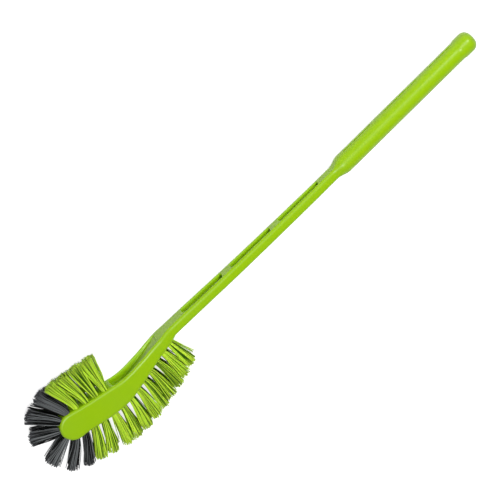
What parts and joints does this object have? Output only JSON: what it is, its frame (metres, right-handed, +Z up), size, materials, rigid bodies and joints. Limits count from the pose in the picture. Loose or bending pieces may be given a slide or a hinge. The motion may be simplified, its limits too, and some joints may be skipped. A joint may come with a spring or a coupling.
{
  "type": "toilet brush",
  "caption": "Long-handled toilet brush with a hooked, paddle-shaped head, bristle tufts round its edge for scrubbing under a rim, and a round grip.",
  "frame": {"origin": "under the middle of the brush's bounding box, on the surface it lies on", "axes": "the brush lies on its side: +X runs along the handle from the head's round end to the grip's end, +Y points to the hollow side of the hooked head, where the flat back and its coring pockets are, and +Z is up, across the head's width"},
  "size_m": [0.4372, 0.0838, 0.0165],
  "materials": {
    "lime_plastic": "moulded, glossy lime green",
    "lime_bristle": "extruded filament, lime green",
    "charcoal_bristle": "extruded filament, charcoal grey"
  },
  "bodies": {
    "root": {"handle_and_head": "lime_plastic", "tuft_upper_01": "lime_bristle", "tuft_upper_02": "lime_bristle", "tuft_upper_03": "lime_bristle", "tuft_upper_04": "lime_bristle", "tuft_upper_05": "lime_bristle", "tuft_upper_06": "lime_bristle", "tuft_upper_07": "lime_bristle", "tuft_upper_08": "lime_bristle", "tuft_upper_09": "lime_bristle", "tuft_upper_10": "lime_bristle", "tuft_upper_11": "lime_bristle", "tuft_upper_12": "charcoal_bristle", "tuft_upper_13": "charcoal_bristle", "tuft_upper_14": "charcoal_bristle", "tuft_upper_15": "charcoal_bristle", "tuft_upper_16": "charcoal_bristle", "tuft_upper_17": "charcoal_bristle", "tuft_upper_18": "lime_bristle", "tuft_upper_19": "lime_bristle", "tuft_upper_20": "lime_bristle", "tuft_upper_21": "lime_bristle", "tuft_lower_01": "lime_bristle", "tuft_lower_02": "lime_bristle", "tuft_lower_03": "lime_bristle", "tuft_lower_04": "lime_bristle", "tuft_lower_05": "lime_bristle", "tuft_lower_06": "lime_bristle", "tuft_lower_07": "lime_bristle", "tuft_lower_08": "lime_bristle", "tuft_lower_09": "lime_bristle", "tuft_lower_10": "lime_bristle", "tuft_lower_11": "lime_bristle", "tuft_lower_12": "charcoal_bristle", "tuft_lower_13": "charcoal_bristle", "tuft_lower_14": "charcoal_bristle", "tuft_lower_15": "charcoal_bristle", "tuft_lower_16": "charcoal_bristle", "tuft_lower_17": "charcoal_bristle", "tuft_lower_18": "lime_bristle", "tuft_lower_19": "lime_bristle", "tuft_lower_20": "lime_bristle", "tuft_lower_21": "lime_bristle"}
  },
  "joints": []
}
